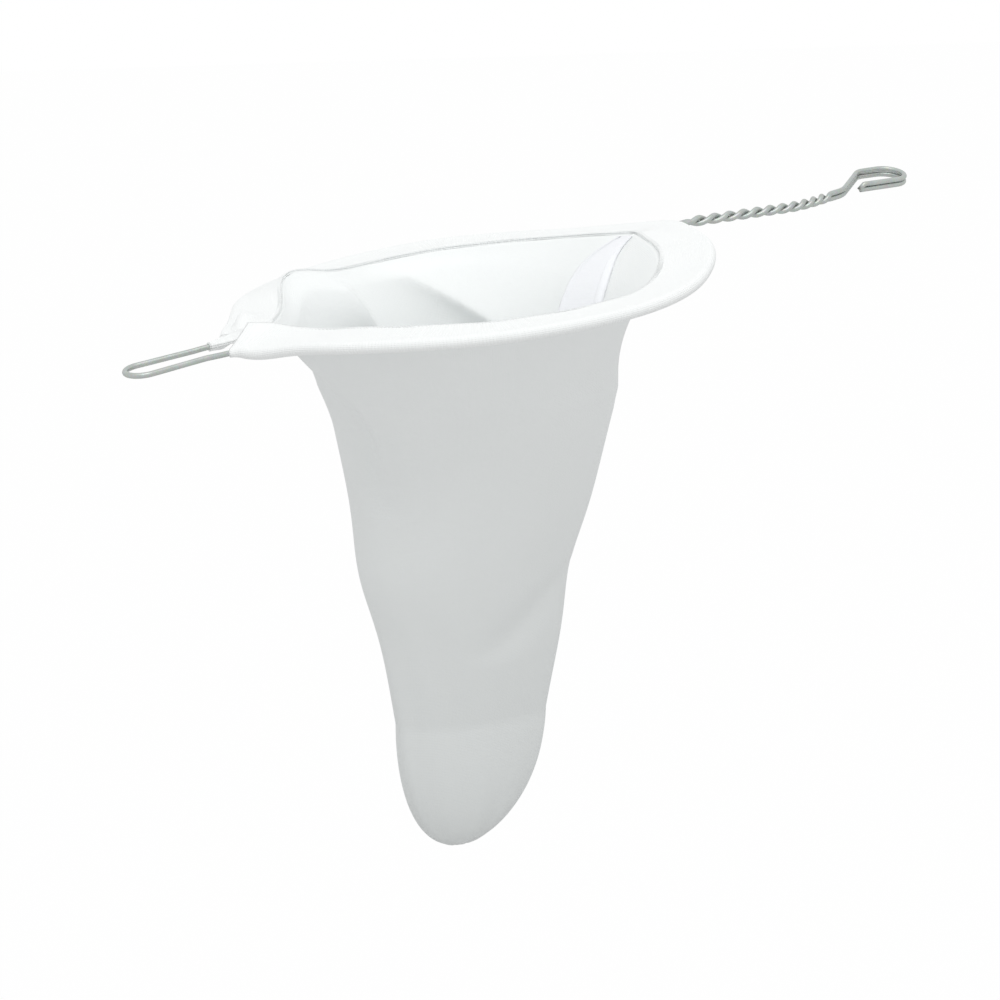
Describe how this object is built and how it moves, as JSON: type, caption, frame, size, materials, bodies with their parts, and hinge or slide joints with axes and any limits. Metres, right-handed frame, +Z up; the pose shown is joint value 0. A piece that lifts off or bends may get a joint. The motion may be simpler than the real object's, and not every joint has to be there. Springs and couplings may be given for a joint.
{
  "type": "coffee sock filter",
  "caption": "Tapering cloth coffee filter bag hemmed round a bent wire hoop, with a narrow rest loop on one side and a twisted wire handle ending in an eye.",
  "frame": {"origin": "centre of the wire hoop, in the hoop's plane", "axes": "+X towards the handle, +Y to the back, +Z up with the bag hanging plumb"},
  "size_m": [0.2649, 0.1434, 0.1909],
  "materials": {
    "galvanised_wire": "dull galvanised",
    "hem_cloth": "white ribbed cotton",
    "bag_cloth": "plain undyed cotton"
  },
  "bodies": {
    "root": {"wire_frame": "galvanised_wire", "hem_front": "hem_cloth", "hem_back": "hem_cloth", "filter_bag": "bag_cloth", "seam_tape": "hem_cloth"}
  },
  "joints": []
}
